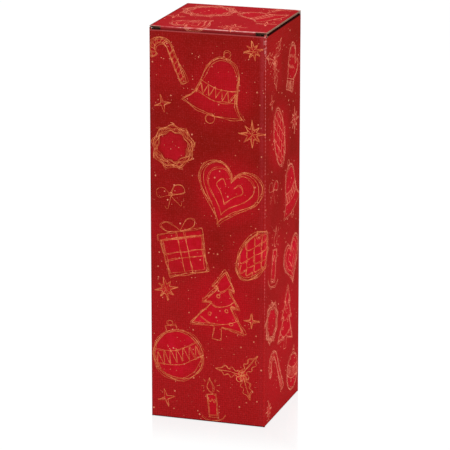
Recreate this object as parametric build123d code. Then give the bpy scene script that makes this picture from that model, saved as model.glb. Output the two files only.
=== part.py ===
# A tall square gift carton for one bottle of wine, folded from printed E-flute corrugated board.
# Straight tuck-in lid with slit locks at the top, interlocking snap-lock base, glued side seam.
# Millimetres. The origin is the middle of the footprint on the floor, +Z up,
# the front panel faces -Y, the lid hinges on the back panel's top edge at +Y.
# Each panel is three plies, as the board is: printed outer liner, fluting, inner liner.
# The flutes run level round the carton, so they are open at the lid's left and right edges.
import os
from math import cos, radians, sin, tan

from build123d import *

# Carton, outside
WIDTH = 104.0
DEPTH = 104.0
HEIGHT = 350.0

# Board
OUTER_LINER = 0.25
FLUTE_HEIGHT = 1.1
INNER_LINER = 0.2
FLUTE_PITCH = 3.2
FLUTE_PAPER = 0.18
FLUTE_FLANK = 42.0
FOLD_HOLLOW = 0.15
CORNER_FOOT = 0.3
CORNER_PLAY = 0.15

# Lid and its tuck flap
LID_SIDE_INSET = 0.15
EAR_WIDTH = 9.5
EAR_INSET = 0.6
SLIT_DROP = 1.5
TUCK_LENGTH = 18.0
TUCK_LEAN = 9.0
TUCK_SIDE_PLAY = 0.65
TUCK_PLAY = 0.3
TUCK_CORNER = 10.0
FRONT_WALL_DROP = 1.7
HINGE_PLAY = 0.5

# Dust flaps
DUST_LENGTH = 44.0
DUST_LID_GAP = 1.2
DUST_BACK_BEVEL = 25.0
DUST_BACK_PLAY = 0.5
DUST_FRONT_SETBACK = 5.5
DUST_CORNER = 5.0

# Glued seam inside the back left corner
SEAM_GLUE = 0.1
SEAM_FLAP = 18.0
SEAM_BOTTOM = 12.0
SEAM_TOP = 6.0
SEAM_TAPER = 8.0
GLUE_MARGIN = 3.0
RAW_EDGE_INSET = 0.15

# Snap-lock base, outermost flap first
LAY_GAP = 0.05
SIDE_RAMP = 15.0
BACK_RAMP = 24.0
BASE_SIDE_PLAY = 0.9
FRONT_FLAP_NECK = 8.0
FRONT_SHOULDER = 5.0
TONGUE_WIDTH = 30.0
TONGUE_LENGTH = 27.0
TONGUE_RISE = 20.0
TONGUE_CORNER = 9.0
TONGUE_PLAY = 0.4
BACK_FLAP_REACH = 57.0
NOTCH_PLAY = 2.0
NOTCH_DEPTH = 22.0
BACK_FLAP_CORNER = 8.0
SIDE_FLAP_REACH = 45.0
SIDE_FLAP_STEP = 14.0
SIDE_FLAP_FRONT = 5.0
FLAP_PLAY = 0.7
SMALL_CORNER = 3.0

# Heights and places that follow from the sizes above
BOARD = OUTER_LINER + FLUTE_HEIGHT + INNER_LINER
QUARTER = 90.0
RIGHT_FOLD = WIDTH / 2 - BOARD
BACK_FOLD = DEPTH / 2 - BOARD
LID_UNDERSIDE = HEIGHT - BOARD
FRONT_TOP = LID_UNDERSIDE - FRONT_WALL_DROP
DUST_TOP = LID_UNDERSIDE - DUST_LID_GAP
DUST_FOLD = DUST_TOP - BOARD
BACK_CORNER_TOP = LID_UNDERSIDE - CORNER_PLAY
TUCK_FOLD = -DEPTH / 2 + 2 * BOARD + TUCK_PLAY
TUCK_TURN = (QUARTER + TUCK_LEAN) / 2
SIDE_LEVEL = BOARD + LAY_GAP
BACK_LEVEL = 2 * (BOARD + LAY_GAP)

UP = (0, 0, 1)
DOWN = (0, 0, -1)
TO_RIGHT = (1, 0, 0)
TO_LEFT = (-1, 0, 0)
TO_BACK = (0, 1, 0)
TO_FRONT = (0, -1, 0)

nodes = {}


def add(name, shape):
    """Keep one piece of a ply under its node name."""
    nodes.setdefault(name, []).append(shape)


def whole(name):
    """A node's finished shape: a liner is fused into one sheet, and the pieces of fluting stay apart."""
    first, *rest = nodes[name]
    if name.endswith("_fluting"):
        return Compound([solid for piece in nodes[name] for solid in piece.solids()])
    return first + rest if rest else first


def outline(*corners):
    """A closed flat shape from (x, y, corner radius) entries."""
    points = [(x, y) for x, y, _ in corners]
    radii = [radius for _, _, radius in corners]
    return make_face(FilletPolyline(*points, radius=radii, close=True))


def rectangle(x_low, x_high, y_low, y_high):
    """A plain rectangle, as corner entries."""
    return [(x_low, y_low, 0), (x_high, y_low, 0), (x_high, y_high, 0), (x_low, y_high, 0)]


def slab(face, top, thickness):
    """A sheet of paper: the flat shape from the depth top down by its thickness."""
    return Pos(0, 0, -top) * extrude(face, amount=-thickness)


def fluting(x_low, x_high, y_low, y_high):
    """Corrugated paper between the liners. The waves follow one another along y and run along x."""
    lean = FLUTE_PAPER * tan(radians(FLUTE_FLANK) / 2)
    drop = FLUTE_HEIGHT - FLUTE_PAPER
    crest = FLUTE_PITCH / 2 + lean - drop / tan(radians(FLUTE_FLANK))
    inner_crest = crest - 2 * lean
    top = -OUTER_LINER
    bottom = top - FLUTE_HEIGHT
    waves = int((y_high - y_low - crest) / FLUTE_PITCH)
    first = (y_low + y_high - waves * FLUTE_PITCH) / 2
    upper = []
    lower = []

    def flat_of_wave(middle, outside, inside, height):
        upper.extend([(middle - outside / 2, height), (middle + outside / 2, height)])
        below = height - FLUTE_PAPER
        lower.extend([(middle - inside / 2, below), (middle + inside / 2, below)])

    for wave in range(waves + 1):
        tip = first + wave * FLUTE_PITCH
        flat_of_wave(tip, crest, inner_crest, top)
        if wave < waves:
            flat_of_wave(tip + FLUTE_PITCH / 2, inner_crest, crest, bottom + FLUTE_PAPER)
    section = make_face(Polyline(*upper, *reversed(lower), close=True))
    return Pos(x_low, 0, 0) * extrude(Plane.YZ * section, amount=x_high - x_low)


def ring_sector(inner, outer, start, stop):
    """Part of a ring, its angles in degrees from the panel's outward normal towards the fold."""

    def at(radius, angle):
        return (radius * sin(radians(angle)), radius * cos(radians(angle)))

    middle = (start + stop) / 2
    edges = [
        ThreePointArc(at(outer, start), at(outer, middle), at(outer, stop)),
        Line(at(outer, stop), at(inner, stop)),
        Line(at(inner, start), at(outer, start)),
    ]
    if inner > 0:
        edges.append(ThreePointArc(at(inner, stop), at(inner, middle), at(inner, start)))
    return make_face(edges)


def half_fold(panel, plane, foot, away, low, high, turn=QUARTER / 2, play=0.0):
    """The panel's own half of a rounded fold: the outer liner and the crushed fluting inside it.

    foot is a point on the fold line of the outer face and away points off the panel, both in the
    panel's frame. low and high are the fold's ends along its line."""
    along = Vector(*away).cross(Vector(0, 0, 1))
    centre = Vector(*foot) - Vector(0, 0, BOARD) + along * low
    frame = Plane(origin=centre, x_dir=Vector(*away), z_dir=along)
    liner = ring_sector(BOARD - OUTER_LINER, BOARD, 0, turn - play)
    crushed = ring_sector(FOLD_HOLLOW, BOARD - OUTER_LINER, 0, turn - play)
    add(panel + "_outer_liner", plane * (frame * extrude(liner, amount=high - low)))
    add(panel + "_fluting", plane * (frame * extrude(crushed, amount=high - low)))


def counter_bend(panel, plane, foot, low, high, turn):
    """A shallow bend the other way, off the panel's lower edge: both liners go round the outer face."""
    frame = Plane(origin=Vector(*foot) + Vector(low, 0, 0), x_dir=(0, -1, 0), z_dir=(1, 0, 0))
    outer = ring_sector(0, OUTER_LINER, 0, turn)
    inner = ring_sector(BOARD - INNER_LINER, BOARD, 0, turn)
    add(panel + "_outer_liner", plane * (frame * extrude(outer, amount=high - low)))
    add(panel + "_inner_liner", plane * (frame * extrude(inner, amount=high - low)))


def board(panel, plane, corners):
    """The flat part of a panel: three plies cut to one shape."""
    face = outline(*corners)
    xs = [x for x, _, _ in corners]
    ys = [y for _, y, _ in corners]
    waves = fluting(min(xs), max(xs), min(ys), max(ys))
    if len(corners) > 4 or any(radius for _, _, radius in corners):
        waves = waves & slab(face, OUTER_LINER, FLUTE_HEIGHT)
    add(panel + "_outer_liner", plane * slab(face, 0, OUTER_LINER))
    add(panel + "_fluting", plane * waves)
    add(panel + "_inner_liner", plane * slab(face, BOARD - INNER_LINER, INNER_LINER))


def ramp(panel, plane, x_low, x_high, run):
    """The short slope by which a base flap climbs over the flap below it: its two liners."""
    face = outline(*rectangle(x_low, x_high, -run, 0))
    add(panel + "_outer_liner", plane * slab(face, 0, OUTER_LINER))
    add(panel + "_inner_liner", plane * slab(face, BOARD - INNER_LINER, INNER_LINER))


def front_wall():
    """The front panel, with its top edge cut straight just below the lid."""
    plane = Plane(origin=(0, -DEPTH / 2, 0), x_dir=TO_RIGHT, z_dir=TO_FRONT)
    board("front_wall", plane, rectangle(-RIGHT_FOLD, RIGHT_FOLD, BOARD, FRONT_TOP))
    half_fold("front_wall", plane, (0, BOARD, 0), (0, -1, 0), -RIGHT_FOLD, RIGHT_FOLD)
    half_fold("front_wall", plane, (RIGHT_FOLD, 0, 0), (1, 0, 0), -FRONT_TOP, -CORNER_FOOT)
    half_fold("front_wall", plane, (-RIGHT_FOLD, 0, 0), (-1, 0, 0), CORNER_FOOT, FRONT_TOP)


def back_wall():
    """The back panel. The lid folds from its top, and its left edge is the seam's raw edge."""
    plane = Plane(origin=(0, DEPTH / 2, 0), x_dir=TO_LEFT, z_dir=TO_BACK)
    raw_edge = WIDTH / 2 - RAW_EDGE_INSET
    board("back_wall", plane, rectangle(-RIGHT_FOLD, raw_edge, BOARD, LID_UNDERSIDE))
    foot_turn = (QUARTER + BACK_RAMP) / 2
    half_fold("back_wall", plane, (0, BOARD, 0), (0, -1, 0), -raw_edge, RIGHT_FOLD, foot_turn)
    half_fold("back_wall", plane, (0, LID_UNDERSIDE, 0), (0, 1, 0), -RIGHT_FOLD, raw_edge, play=HINGE_PLAY)
    half_fold("back_wall", plane, (-RIGHT_FOLD, 0, 0), (-1, 0, 0), CORNER_FOOT, BACK_CORNER_TOP)


def side_wall(side, facing, along, seam):
    """A side panel between its base flap and its dust flap. seam marks the one the seam flap leaves."""
    panel = side + "_wall"
    plane = Plane(origin=Vector(*facing) * (WIDTH / 2), x_dir=along, z_dir=facing)
    back_edge = BACK_FOLD - BOARD - SEAM_GLUE if seam else BACK_FOLD
    back_is_low = Vector(*along).Y < 0
    x_low, x_high = (-back_edge, BACK_FOLD) if back_is_low else (-BACK_FOLD, back_edge)
    board(panel, plane, rectangle(x_low, x_high, BOARD, DUST_FOLD))
    back_top = DUST_FOLD if seam else BACK_CORNER_TOP
    top_high, top_low = (FRONT_TOP, back_top) if back_is_low else (back_top, FRONT_TOP)
    half_fold(panel, plane, (x_high, 0, 0), (1, 0, 0), -top_high, -CORNER_FOOT)
    half_fold(panel, plane, (x_low, 0, 0), (-1, 0, 0), CORNER_FOOT, top_low)
    half_fold(panel, plane, (0, BOARD, 0), (0, -1, 0), -x_high, -x_low, (QUARTER + SIDE_RAMP) / 2)
    dust_low, dust_high = dust_span(back_is_low)
    half_fold(panel, plane, (0, DUST_FOLD, 0), (0, 1, 0), dust_low, dust_high, play=HINGE_PLAY)


def dust_span(back_is_low):
    """The two ends of a dust flap's fold along the side panel, in that panel's own direction."""
    front_end = BACK_FOLD - DUST_FRONT_SETBACK + BOARD
    back_end = BACK_FOLD - DUST_BACK_PLAY
    return (-back_end, front_end) if back_is_low else (-front_end, back_end)


def seam():
    """The seam flap folded off the left panel, and the glue between it and the back panel."""
    inner_face = DEPTH / 2 - BOARD
    plane = Plane(origin=(0, inner_face - SEAM_GLUE, 0), x_dir=TO_LEFT, z_dir=TO_BACK)
    tip = RIGHT_FOLD - SEAM_FLAP
    top = DUST_FOLD - SEAM_TOP
    corners = [
        (RIGHT_FOLD, SEAM_BOTTOM, 0),
        (RIGHT_FOLD, top, 0),
        (tip, top - SEAM_TAPER, 0),
        (tip, SEAM_BOTTOM + SEAM_TAPER, 0),
    ]
    board("seam_flap", plane, corners)
    half_fold("seam_flap", plane, (RIGHT_FOLD, 0, 0), (1, 0, 0), -top, -SEAM_BOTTOM)
    glued = outline(
        *rectangle(
            tip + GLUE_MARGIN,
            RIGHT_FOLD - GLUE_MARGIN,
            SEAM_BOTTOM + SEAM_TAPER + GLUE_MARGIN,
            top - SEAM_TAPER - GLUE_MARGIN,
        )
    )
    add("seam_glue", plane * (Pos(0, 0, SEAM_GLUE) * slab(glued, 0, SEAM_GLUE)))


def lid():
    """The lid. Between the slits its front folds down, and outside them two ears stay level."""
    plane = Plane(origin=(0, 0, HEIGHT), x_dir=TO_RIGHT, z_dir=UP)
    side = WIDTH / 2 - LID_SIDE_INSET
    slit = side - EAR_WIDTH
    ear = -DEPTH / 2 + EAR_INSET
    corners = [
        (-side, ear, 0),
        (-slit, ear, 0),
        (-slit, TUCK_FOLD, 0),
        (slit, TUCK_FOLD, 0),
        (slit, ear, 0),
        (side, ear, 0),
        (side, BACK_FOLD, 0),
        (-side, BACK_FOLD, 0),
    ]
    board("lid", plane, corners)
    half_fold("lid", plane, (0, BACK_FOLD, 0), (0, 1, 0), -side, side, play=HINGE_PLAY)
    half_fold("lid", plane, (0, TUCK_FOLD, 0), (0, -1, 0), -slit, slit, TUCK_TURN, HINGE_PLAY)


def tuck_flap():
    """The flap on the lid's front, which tucks in behind the front panel and leans inwards."""
    facing = Vector(0, -cos(radians(TUCK_LEAN)), -sin(radians(TUCK_LEAN)))
    origin = Vector(0, TUCK_FOLD, LID_UNDERSIDE) + facing * BOARD
    plane = Plane(origin=origin, x_dir=TO_RIGHT, z_dir=facing)
    slit = WIDTH / 2 - LID_SIDE_INSET - EAR_WIDTH
    side = RIGHT_FOLD - TUCK_SIDE_PLAY
    corners = [
        (-side, -TUCK_LENGTH, TUCK_CORNER),
        (side, -TUCK_LENGTH, TUCK_CORNER),
        (side, -SLIT_DROP, 0),
        (slit, -SLIT_DROP, 0),
        (slit, 0, 0),
        (-slit, 0, 0),
        (-slit, -SLIT_DROP, 0),
        (-side, -SLIT_DROP, 0),
    ]
    board("tuck_flap", plane, corners)
    half_fold("tuck_flap", plane, (0, 0, 0), (0, 1, 0), -slit, slit, TUCK_TURN, HINGE_PLAY)


def dust_flap(side, along, towards_middle, sign):
    """A flap folded in from a side panel's top, under the lid. Its back edge slants clear of the lid."""
    panel = side + "_dust_flap"
    x_dir = Vector(*along)
    origin = Vector(0, 0, DUST_TOP) - Vector(*towards_middle) * RIGHT_FOLD
    plane = Plane(origin=origin, x_dir=x_dir, z_dir=UP)
    front, back = BOARD - DUST_FRONT_SETBACK + BACK_FOLD, BACK_FOLD - DUST_BACK_PLAY
    back_tip = back - DUST_LENGTH * tan(radians(DUST_BACK_BEVEL))
    corners = [
        (-sign * front, 0, 0),
        (sign * back, 0, 0),
        (sign * back_tip, DUST_LENGTH, DUST_CORNER),
        (-sign * front, DUST_LENGTH, DUST_CORNER),
    ]
    board(panel, plane, corners)
    low, high = dust_span(sign < 0)
    half_fold(panel, plane, (0, 0, 0), (0, -1, 0), -high, -low, play=HINGE_PLAY)


def base_plane(level, along=TO_RIGHT):
    """The frame of a base flap whose outer face lies at this height. Its y points to the front for
    flaps along X, and away from the middle for flaps along Y."""
    return Plane(origin=(0, 0, level), x_dir=along, z_dir=DOWN)


def notch_root():
    """Where the back flap's notch ends, along the base towards the front."""
    return -BACK_FOLD + BACK_FLAP_REACH - NOTCH_DEPTH


def base_front_flap():
    """The outermost base flap, from the front panel, and the tongue that hooks over the back flap."""
    plane = base_plane(0)
    fold = BACK_FOLD
    full = RIGHT_FOLD - BASE_SIDE_PLAY
    narrow = RIGHT_FOLD - ramp_reach(SIDE_LEVEL, SIDE_RAMP) - BASE_SIDE_PLAY
    climb = BACK_LEVEL + BOARD + TONGUE_PLAY - BOARD * (1 - cos(radians(TONGUE_RISE)))
    tip = notch_root() + climb / tan(radians(TONGUE_RISE)) - BOARD * sin(radians(TONGUE_RISE))
    half_tongue = TONGUE_WIDTH / 2
    corners = [
        (-half_tongue, tip, 0),
        (half_tongue, tip, 0),
        (narrow, tip + FRONT_FLAP_NECK, SMALL_CORNER),
        (narrow, fold - FRONT_SHOULDER, 0),
        (full, fold - FRONT_SHOULDER + SMALL_CORNER, 0),
        (full, fold, 0),
        (-full, fold, 0),
        (-full, fold - FRONT_SHOULDER + SMALL_CORNER, 0),
        (-narrow, fold - FRONT_SHOULDER, 0),
        (-narrow, tip + FRONT_FLAP_NECK, SMALL_CORNER),
    ]
    board("base_front_flap", plane, corners)
    half_fold("base_front_flap", plane, (0, fold, 0), (0, 1, 0), -full, full)
    half_fold("base_front_flap", plane, (0, tip, 0), (0, -1, 0), -half_tongue, half_tongue, TONGUE_RISE / 2)
    facing = Vector(0, sin(radians(TONGUE_RISE)), -cos(radians(TONGUE_RISE)))
    slope = Plane(origin=Vector(0, -tip, BOARD) + facing * BOARD, x_dir=TO_RIGHT, z_dir=facing)
    tongue = [
        (-half_tongue, -TONGUE_LENGTH, TONGUE_CORNER),
        (half_tongue, -TONGUE_LENGTH, TONGUE_CORNER),
        (half_tongue, 0, 0),
        (-half_tongue, 0, 0),
    ]
    board("base_tongue", slope, tongue)
    half_fold("base_tongue", slope, (0, 0, 0), (0, 1, 0), -half_tongue, half_tongue, TONGUE_RISE / 2)


def ramp_run(level, rise):
    """Length of the slope from a fold on the floor up to a flap at this level."""
    return (level - BOARD + BOARD * cos(radians(rise))) / sin(radians(rise))


def ramp_reach(level, rise):
    """How far in from the fold line the slope reaches that level."""
    return BOARD * sin(radians(rise)) + ramp_run(level, rise) * cos(radians(rise))


def sloped(panel, plane, fold, x_low, x_high, level, rise):
    """Adds the rounded fold and the slope that take a base flap from the floor to its level."""
    angle = radians(rise)
    foot = (0, fold - BOARD * sin(angle), level - BOARD * (1 - cos(angle)))
    facing = plane.z_dir * cos(angle) - plane.y_dir * sin(angle)
    tilt = Plane(origin=plane.from_local_coords(foot), x_dir=plane.x_dir, z_dir=facing)
    run = ramp_run(level, rise)
    ramp(panel, tilt, x_low, x_high, run)
    counter_bend(panel, tilt, (0, -run, 0), x_low, x_high, rise)
    half_fold(panel, tilt, (0, 0, 0), (0, 1, 0), x_low, x_high, (QUARTER + rise) / 2)


def base_side_flap(side, along, sign):
    """A base flap from a side panel, stepped so that the tongue passes beside it."""
    panel = "base_" + side + "_flap"
    plane = base_plane(SIDE_LEVEL, along)
    ramp_top = RIGHT_FOLD - ramp_reach(SIDE_LEVEL, SIDE_RAMP)
    front = BACK_FOLD - SIDE_FLAP_FRONT
    back = BACK_FOLD - ramp_reach(BACK_LEVEL, BACK_RAMP) - FLAP_PLAY
    waist = TONGUE_WIDTH / 2 + NOTCH_PLAY + FLAP_PLAY
    reach = RIGHT_FOLD - SIDE_FLAP_REACH
    corners = [
        (-sign * front, ramp_top, 0),
        (-sign * (front - SIDE_FLAP_STEP / 2), reach, SMALL_CORNER),
        (-sign * SIDE_FLAP_STEP, reach, SMALL_CORNER),
        (-sign * FRONT_SHOULDER, waist, SMALL_CORNER),
        (sign * (back - SIDE_FLAP_STEP), waist, SMALL_CORNER),
        (sign * back, ramp_top, 0),
    ]
    board(panel, plane, corners)
    low, high = sorted((-sign * front, sign * back))
    sloped(panel, plane, RIGHT_FOLD, low, high, SIDE_LEVEL, SIDE_RAMP)


def base_back_flap():
    """The innermost base flap, from the back panel, notched for the tongue."""
    panel = "base_back_flap"
    plane = base_plane(BACK_LEVEL)
    ramp_top = -BACK_FOLD + ramp_reach(BACK_LEVEL, BACK_RAMP)
    side = RIGHT_FOLD - BASE_SIDE_PLAY
    tip = -BACK_FOLD + BACK_FLAP_REACH
    notch = TONGUE_WIDTH / 2 + NOTCH_PLAY
    corners = [
        (-side, ramp_top, 0),
        (side, ramp_top, 0),
        (side, tip, BACK_FLAP_CORNER),
        (notch, tip, SMALL_CORNER),
        (notch, notch_root(), SMALL_CORNER),
        (-notch, notch_root(), SMALL_CORNER),
        (-notch, tip, SMALL_CORNER),
        (-side, tip, BACK_FLAP_CORNER),
    ]
    board(panel, plane, corners)
    turned = base_plane(BACK_LEVEL, TO_LEFT)
    sloped(panel, turned, BACK_FOLD, -side, side, BACK_LEVEL, BACK_RAMP)


front_wall()
back_wall()
side_wall("right", TO_RIGHT, TO_BACK, False)
side_wall("left", TO_LEFT, TO_FRONT, True)
seam()
lid()
tuck_flap()
dust_flap("right", TO_BACK, TO_LEFT, 1)
dust_flap("left", TO_FRONT, TO_RIGHT, -1)
base_front_flap()
base_side_flap("right", TO_BACK, 1)
base_side_flap("left", TO_FRONT, -1)
base_back_flap()

os.makedirs("parts", exist_ok=True)
for name in nodes:
    shape = whole(name)
    export_step(shape, "parts/" + name + ".step")
    print(name, len(shape.solids()), "solids", round(shape.volume, 1), "mm3")
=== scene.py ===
# %% [markdown]
# # A tall gift box of printed corrugated board
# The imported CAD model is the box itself: every wall and flap is a sandwich of two paper liners with a
# fluted sheet between them. This lesson dresses it. The shapes stay, the papers get their colours and
# their grain, and the gold print is drawn on a flat sheet and then folded round the box, just as the
# printer and the box maker do it.

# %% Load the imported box
import random
from math import cos, pi, radians, sin

import bmesh
import bpy
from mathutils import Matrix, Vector, noise
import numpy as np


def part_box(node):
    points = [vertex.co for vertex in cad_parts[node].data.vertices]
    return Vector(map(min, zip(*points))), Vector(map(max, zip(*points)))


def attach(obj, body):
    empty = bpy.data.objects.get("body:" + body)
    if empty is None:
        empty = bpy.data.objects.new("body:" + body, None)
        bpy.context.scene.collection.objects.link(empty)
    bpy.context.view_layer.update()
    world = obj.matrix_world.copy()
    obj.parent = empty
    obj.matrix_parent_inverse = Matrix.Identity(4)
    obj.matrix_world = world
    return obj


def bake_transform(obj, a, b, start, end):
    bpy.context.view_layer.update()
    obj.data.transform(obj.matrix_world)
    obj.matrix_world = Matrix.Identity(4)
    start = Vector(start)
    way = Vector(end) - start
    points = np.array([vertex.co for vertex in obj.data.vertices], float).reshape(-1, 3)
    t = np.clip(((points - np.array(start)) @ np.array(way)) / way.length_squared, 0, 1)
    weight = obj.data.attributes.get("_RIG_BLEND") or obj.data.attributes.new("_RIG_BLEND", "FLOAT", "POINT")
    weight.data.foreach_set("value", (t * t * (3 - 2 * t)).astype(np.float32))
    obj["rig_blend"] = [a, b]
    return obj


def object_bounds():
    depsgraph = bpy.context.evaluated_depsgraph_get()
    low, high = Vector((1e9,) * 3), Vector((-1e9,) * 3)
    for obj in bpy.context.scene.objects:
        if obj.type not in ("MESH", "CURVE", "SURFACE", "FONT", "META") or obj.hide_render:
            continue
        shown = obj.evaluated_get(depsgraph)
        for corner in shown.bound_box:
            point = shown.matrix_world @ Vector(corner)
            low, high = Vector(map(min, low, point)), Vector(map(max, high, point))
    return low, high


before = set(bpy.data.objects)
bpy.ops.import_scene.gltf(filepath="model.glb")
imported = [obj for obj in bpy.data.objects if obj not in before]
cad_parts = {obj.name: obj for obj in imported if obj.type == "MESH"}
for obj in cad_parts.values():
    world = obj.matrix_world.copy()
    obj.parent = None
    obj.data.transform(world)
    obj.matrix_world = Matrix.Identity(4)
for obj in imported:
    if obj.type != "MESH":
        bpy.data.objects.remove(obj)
cad_low, cad_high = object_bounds()
print("box from", tuple(cad_low), "to", tuple(cad_high), "with", len(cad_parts), "papers")

# %% [markdown]
# ## Sizes
# The CAD is in metres here, so a millimetre gets a name. The folds turn round the inner face of the
# board: that radius and the length of a turned quarter decide where the print lands.

# %% Name the sizes that the print has to follow
MM = 0.001
HALF = cad_high.x
HEIGHT = cad_high.z
BOARD = 1.55 * MM
FLAT = HALF - BOARD
ARC = pi / 2 * BOARD
PANEL = 2 * FLAT + ARC
LID_UNDERSIDE = HEIGHT - BOARD
DUST_FOLD = 345.7 * MM
FRONT_EDGE = 346.75 * MM
TUCK_FOLD = -48.6 * MM
TUCK_TURN = radians(99)
FLUTE_PITCH = 3.2 * MM
print("one panel of the sheet is", round(PANEL / MM, 2), "mm wide")

# %% [markdown]
# ## Camera
# The photograph looks down a little at the near right corner through a long lens, so that the upright
# edges are almost parallel. The view aims a touch below and left of the box's middle.

# %% Place the camera
VIEW_TURN, VIEW_RISE = radians(17.87), radians(15.67)
VIEW_DISTANCE, VIEW_LENS = 2.515, 229.8
VIEW_LEFT, VIEW_DOWN = 0.87 * MM, 9.7 * MM
back = Vector((sin(VIEW_TURN) * cos(VIEW_RISE), -cos(VIEW_TURN) * cos(VIEW_RISE), sin(VIEW_RISE)))
right = Vector((cos(VIEW_TURN), sin(VIEW_TURN), 0))
up = back.cross(right)

camera = bpy.data.objects.new("camera", bpy.data.cameras.new("camera"))
bpy.context.scene.collection.objects.link(camera)
bpy.context.scene.camera = camera
camera.data.lens = VIEW_LENS
camera.data.clip_end = 50
camera.rotation_mode = "QUATERNION"
BOX_MIDDLE = Vector((0, 0, HEIGHT / 2))
camera.location = BOX_MIDDLE + back * VIEW_DISTANCE - right * VIEW_LEFT - up * VIEW_DOWN
camera.rotation_quaternion = (-back).to_track_quat("-Z", "Y")
bpy.context.scene.view_settings.view_transform = "Standard"
print("camera at", tuple(round(c, 3) for c in camera.location))


# %% [markdown]
# ## Writing shaders as sums
# Node trees are quicker to read as arithmetic. `Value` wraps one socket, so `1 - mask * 0.5` adds its
# Math nodes. `Nodes` makes every other node through a single method, and `Finish` starts a material.

# %% Wrap sockets
class Value:
    """A socket that can be added, multiplied and compared, which adds Math nodes."""

    def __init__(self, nodes, socket):
        self.nodes = nodes
        self.socket = socket

    def math(self, operation, *values):
        return self.nodes.node("Math", {"operation": operation}, dict(enumerate(values)))

    def __add__(self, other):
        return self.math("ADD", self, other)

    def __sub__(self, other):
        return self.math("SUBTRACT", self, other)

    def __rsub__(self, other):
        return self.math("SUBTRACT", other, self)

    def __mul__(self, other):
        return self.math("MULTIPLY", self, other)

    def __abs__(self):
        return self.math("ABSOLUTE", self)

    def sine(self):
        return self.math("SINE", self)

    def least(self, other):
        return self.math("MINIMUM", self, other)

    def most(self, other):
        return self.math("MAXIMUM", self, other)

    def ramp(self, start, end, low=0.0, high=1.0):
        """Goes smoothly from low at start to high at end."""
        rising = end > start
        return self.nodes.node(
            "MapRange",
            {"interpolation_type": "SMOOTHSTEP"},
            {0: self, 1: start if rising else end, 2: end if rising else start,
             3: low if rising else high, 4: high if rising else low},
        )

    __radd__ = __add__
    __rmul__ = __mul__


print("sockets can be added, multiplied and ramped")


# %% Start node trees and materials
class Nodes:
    """The node tree of a material or of the world."""

    def __init__(self, owner):
        owner.use_nodes = True
        self.tree = owner.node_tree

    def node(self, kind, settings=None, inputs=None, out=0):
        made = self.tree.nodes.new("ShaderNode" + kind)
        for setting, value in (settings or {}).items():
            setattr(made, setting, value)
        for key, value in (inputs or {}).items():
            self.plug(made.inputs[key], value)
        return Value(self, made.outputs[out])

    def plug(self, socket, value):
        if isinstance(value, Value):
            self.tree.links.new(value.socket, socket)
        else:
            socket.default_value = value


class Finish(Nodes):
    """A material under construction. Its place, x, y and z say where on the box the surface is."""

    def __init__(self, name, specular=0.5):
        self.material = bpy.data.materials.new(name)
        super().__init__(self.material)
        self.shader = self.tree.nodes["Principled BSDF"]
        self.shader.inputs["Specular IOR Level"].default_value = specular
        self.place = self.node("TexCoord", out=3)
        split = self.node("SeparateXYZ", {}, {0: self.place}).socket.node
        self.x, self.y, self.z = (Value(self, part) for part in split.outputs)

    def mix(self, factor, first, second):
        return self.node("Mix", {"data_type": "RGBA"}, {0: factor, 6: first, 7: second}, out=2)

    def vector(self, operation, first, second, out=0):
        return self.node("VectorMath", {"operation": operation}, {0: first, 1: second}, out)

    def distance(self, point):
        return self.vector("DISTANCE", self.place, point, out=1)

    def facing(self, axis):
        """How squarely the surface faces along an axis of the object, from -1 to 1."""
        return self.vector("DOT_PRODUCT", self.node("TexCoord", out=1), axis, out=1)

    def cloud(self, size, detail=2.0, roughness=0.5, stretch=None):
        """Soft noise whose blobs are about size metres across, and longer where stretch is under 1."""
        at = self.vector("MULTIPLY", self.place, stretch) if stretch else self.place
        inputs = {"Vector": at, "Scale": 1 / size, "Detail": detail, "Roughness": roughness}
        return self.node("TexNoise", {}, inputs)

    def finish(self, colour, roughness, relief):
        self.plug(self.shader.inputs["Base Color"], colour)
        self.plug(self.shader.inputs["Roughness"], roughness)
        bump = self.node("Bump", {}, {"Strength": 1.0, "Distance": 1.0, "Height": relief})
        self.plug(self.shader.inputs["Normal"], bump)
        return self.material


def tone(red, green, blue):
    """A colour as a painter reads it off the screen, turned into the linear light Blender works in."""
    return tuple(((c / 255 + 0.055) / 1.055) ** 2.4 for c in (red, green, blue)) + (1.0,)


print("shader helpers ready")

# %% [markdown]
# ## Bare paper
# The liner inside and the flutes are recycled brown paper. It is matt, with fibres that lie mostly one
# way, darker specks and small patches where the pulp was thicker. Noise stretched along the fibres does
# that, and the same noise raises the surface a few hundredths of a millimetre. Where a cut edge lies
# deep under the lid, a small function paints shade on it, and a painted highlight where it catches light.

# %% Mix the brown paper
KRAFT = tone(186, 134, 108)
KRAFT_DARK = tone(150, 102, 80)
KRAFT_SPECK = tone(92, 62, 46)
KRAFT_PALE = tone(206, 160, 134)
KRAFT_CRUSHED = tone(206, 180, 170)
CRUSHED_CORNER = (HALF, FLAT, LID_UNDERSIDE)


def brown_paper(finish, along=(1.0, 0.18, 1.0)):
    """Colour and relief of unbleached paper with its fibres stretched along one axis."""
    fibres = finish.cloud(0.5 * MM, 4.0, 0.7, along)
    pulp = finish.cloud(9 * MM, 3.0, 0.6)
    speck = finish.cloud(1.3 * MM, 1.0, 0.4)
    colour = finish.mix(fibres.ramp(0.3, 0.7), KRAFT_DARK, KRAFT)
    colour = finish.mix(pulp.ramp(0.42, 0.66) * 0.45, colour, KRAFT_PALE)
    colour = finish.mix(speck.ramp(0.68, 0.76) * 0.55, colour, KRAFT_SPECK)
    crushed = finish.distance(CRUSHED_CORNER).ramp(5.5 * MM, 2.5 * MM, 0.0, 0.85)
    colour = finish.mix(crushed, colour, KRAFT_CRUSHED)
    return colour, fibres * 0.02 * MM + pulp * 0.05 * MM


print("crushed corner at", CRUSHED_CORNER)
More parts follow.
